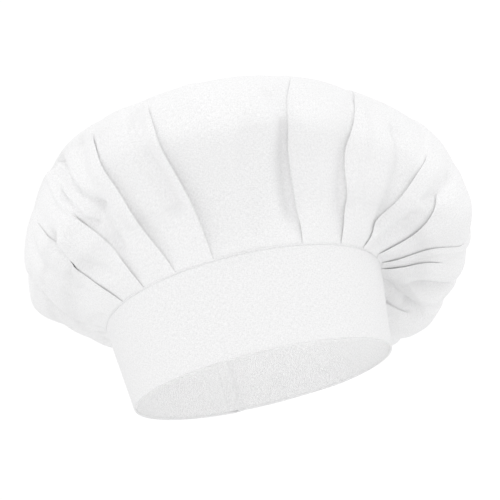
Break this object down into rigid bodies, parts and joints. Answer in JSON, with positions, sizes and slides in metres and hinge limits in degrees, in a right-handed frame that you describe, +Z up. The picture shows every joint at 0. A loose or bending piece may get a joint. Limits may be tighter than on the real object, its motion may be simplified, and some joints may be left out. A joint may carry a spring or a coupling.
{
  "type": "chef toque",
  "caption": "White chef's toque: a soft pleated crown gathered into a stiff head band, with a hook-and-loop tab closing the band at the back.",
  "frame": {"origin": "middle of the head opening, level with the lower edge of the band", "axes": "+Z up out of the head, -Y towards the brow, +X the side on which the crown flops lower"},
  "size_m": [0.3364, 0.349, 0.1828],
  "materials": {
    "poplin": "matt white cotton and polyester poplin",
    "band_inside": "matt white twill",
    "stiffener": "non-woven interlining",
    "tape": "white hook and loop tape",
    "thread": "white sewing thread"
  },
  "bodies": {
    "hat": {"crown": "poplin", "crown_slit_facing": "poplin", "band_outer": "poplin", "band_interlining": "stiffener", "band_facing": "band_inside", "band_topstitch": "thread", "loop_tape": "tape", "loop_tape_stitching": "thread"},
    "closure_tab": {"tab_outer": "poplin", "tab_interlining": "stiffener", "tab_facing": "band_inside", "tab_edge_stitching": "thread", "hook_tape": "tape", "hook_tape_stitching": "thread"}
  },
  "joints": [
    {"name": "closure_peel", "type": "hinge", "parent": "hat", "child": "closure_tab", "pos_m": [-0.02822, 0.10132, 0.03], "axis": [-0.0434, 0.1557, 0.9869], "range_deg": [0, 150]}
  ]
}
